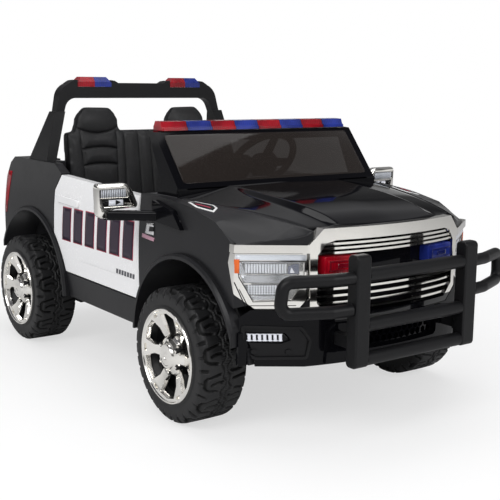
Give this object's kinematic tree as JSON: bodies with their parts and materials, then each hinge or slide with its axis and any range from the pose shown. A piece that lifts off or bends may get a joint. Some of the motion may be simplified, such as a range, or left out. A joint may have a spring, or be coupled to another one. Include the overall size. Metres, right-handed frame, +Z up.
{
  "type": "ride-on toy police pickup truck",
  "caption": "Child's electric ride-on toy in the form of an open two-seat police pickup truck, with doors, tailgate, steering and rolling wheels that move.",
  "frame": {"origin": "on the floor, at the middle of the truck's length and width", "axes": "+X forward, +Y to the truck's left, +Z up"},
  "size_m": [1.398, 0.88, 0.724],
  "materials": {
    "satin_black": "satin dark grey-black moulded plastic",
    "gloss_black": "glossy black painted plastic",
    "matte_black": "matte black plastic",
    "white_plastic": "glossy white plastic",
    "chrome": "vacuum-plated plastic, mirror bright",
    "clear_lens": "clear moulded lens",
    "red_lens": "translucent red lens",
    "blue_lens": "translucent blue lens",
    "smoked_screen": "smoked clear plastic",
    "black_leather": "padded black leatherette",
    "grey_plastic": "matte grey plastic",
    "steel": "zinc-plated steel",
    "tyre": "moulded foam rubber"
  },
  "bodies": {
    "body": {"floor_pan": "satin_black", "seat_box": "satin_black", "firewall": "satin_black", "fender_left": "satin_black", "fender_right": "satin_black", "bonnet": "gloss_black", "bed_side_left": "satin_black", "bed_side_right": "satin_black", "bed_floor": "satin_black", "front_bumper": "gloss_black", "rear_bumper": "satin_black", "grille": "chrome", "headlamp_housings": "chrome", "headlamps": "clear_lens", "fog_bezels": "matte_black", "fog_lamps": "clear_lens", "tail_lamps": "red_lens", "bull_bar_uprights": "matte_black", "bull_bar_tubes": "matte_black", "bull_bar_loops": "matte_black", "windscreen_frame": "satin_black", "windscreen_glass": "smoked_screen", "warning_lenses_red": "red_lens", "warning_lenses_blue": "blue_lens", "roll_bar": "matte_black", "dashboard": "satin_black", "steering_column": "matte_black", "pedal": "grey_plastic", "seat_cushions": "black_leather", "seat_backs": "black_leather", "battery": "grey_plastic", "mirror_housings": "chrome", "mirror_lamps": "clear_lens", "mirror_arms": "matte_black", "door_hinges": "steel", "front_axle": "steel", "rear_axle": "steel", "gearboxes": "grey_plastic"},
    "door_left": {"door_left": "white_plastic"},
    "door_right": {"door_right": "white_plastic"},
    "tailgate": {"tailgate": "satin_black"},
    "steering_wheel": {"steering_wheel": "matte_black"},
    "knuckle_left": {"knuckle_left": "steel"},
    "knuckle_right": {"knuckle_right": "steel"},
    "tie_rod": {"tie_rod": "steel"},
    "wheel_front_left": {"rim_front_left": "chrome", "tyre_front_left": "tyre"},
    "wheel_front_right": {"rim_front_right": "chrome", "tyre_front_right": "tyre"},
    "wheel_rear_left": {"rim_rear_left": "chrome", "tyre_rear_left": "tyre"},
    "wheel_rear_right": {"rim_rear_right": "chrome", "tyre_rear_right": "tyre"}
  },
  "joints": [
    {"name": "door_left_hinge", "type": "hinge", "parent": "body", "child": "door_left", "pos_m": [0.121, 0.31, 0.34], "axis": [0, 0, -1], "range_deg": [0, 60]},
    {"name": "door_right_hinge", "type": "hinge", "parent": "body", "child": "door_right", "pos_m": [0.121, -0.31, 0.34], "axis": [0, 0, 1], "range_deg": [0, 60]},
    {"name": "tailgate_hinge", "type": "hinge", "parent": "body", "child": "tailgate", "pos_m": [-0.643, 0, 0.304], "axis": [0, -1, 0], "range_deg": [0, 88]},
    {"name": "steering", "type": "hinge", "parent": "body", "child": "steering_wheel", "pos_m": [-0.008, 0.128, 0.508], "axis": [-0.788, 0, 0.6157], "range_deg": [-66, 66]},
    {"name": "kingpin_left", "type": "hinge", "parent": "body", "child": "knuckle_left", "pos_m": [0.337, 0.238, 0.145], "axis": [0, 0, 1], "range_deg": [-22, 22]},
    {"name": "kingpin_right", "type": "hinge", "parent": "body", "child": "knuckle_right", "pos_m": [0.337, -0.238, 0.145], "axis": [0, 0, 1], "range_deg": [-22, 22]},
    {"name": "tie_rod_slide", "type": "slide", "parent": "body", "child": "tie_rod", "axis": [0, 1, 0], "range_m": [-0.021, 0.021]},
    {"name": "wheel_front_left_spin", "type": "hinge", "parent": "knuckle_left", "child": "wheel_front_left", "pos_m": [0.337, 0.314, 0.145], "axis": [0, 1, 0], "continuous": true},
    {"name": "wheel_front_right_spin", "type": "hinge", "parent": "knuckle_right", "child": "wheel_front_right", "pos_m": [0.337, -0.314, 0.145], "axis": [0, 1, 0], "continuous": true},
    {"name": "wheel_rear_left_spin", "type": "hinge", "parent": "body", "child": "wheel_rear_left", "pos_m": [-0.463, 0.314, 0.145], "axis": [0, 1, 0], "continuous": true},
    {"name": "wheel_rear_right_spin", "type": "hinge", "parent": "body", "child": "wheel_rear_right", "pos_m": [-0.463, -0.314, 0.145], "axis": [0, 1, 0], "continuous": true}
  ],
  "couplings": [
    {"joint": "kingpin_left", "follows": "steering", "ratio": 0.3333},
    {"joint": "kingpin_right", "follows": "steering", "ratio": 0.3333},
    {"joint": "tie_rod_slide", "follows": "steering", "m_per_rad": -0.0179}
  ]
}
